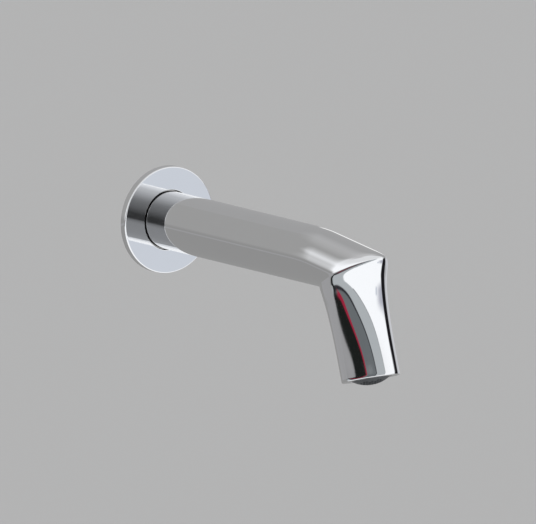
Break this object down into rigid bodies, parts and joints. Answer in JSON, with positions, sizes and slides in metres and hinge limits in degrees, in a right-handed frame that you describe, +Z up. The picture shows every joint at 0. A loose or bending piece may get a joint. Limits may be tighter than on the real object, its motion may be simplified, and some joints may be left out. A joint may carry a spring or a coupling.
{
  "type": "wall_spout",
  "caption": "Wall spout: round chromed spout with a curved nozzle, round wall flange, slip-on threaded nipple with seals, set screw and a domed M24 aerator",
  "frame": {"origin": "centre of the wall end: where the tube's axis meets the wall plane", "axes": "+Z up, -Y out of the wall along the spout, +Y into the wall, +X to the right when facing the wall"},
  "size_m": [0.06, 0.228, 0.0964],
  "materials": {
    "chrome_plate": "polished",
    "brass": "machined",
    "steel": "machined",
    "black_rubber": "matte",
    "grey_foam": "foam",
    "dark_plastic": "satin",
    "white_plastic": "satin"
  },
  "bodies": {
    "root": {"spout_body": "chrome_plate", "wall_flange": "chrome_plate", "flange_o_ring": "black_rubber", "wall_seal": "grey_foam", "inlet_nipple": "brass", "nipple_o_ring_rear": "black_rubber", "nipple_o_ring_front": "black_rubber", "set_screw": "steel", "aerator_housing": "chrome_plate", "aerator_case": "white_plastic", "aerator_gasket": "black_rubber", "outlet_grid": "dark_plastic", "mixing_screen_lower": "white_plastic", "mixing_screen_upper": "white_plastic", "jet_plate": "white_plastic", "flow_regulator_ring": "black_rubber", "strainer": "white_plastic"}
  },
  "joints": []
}
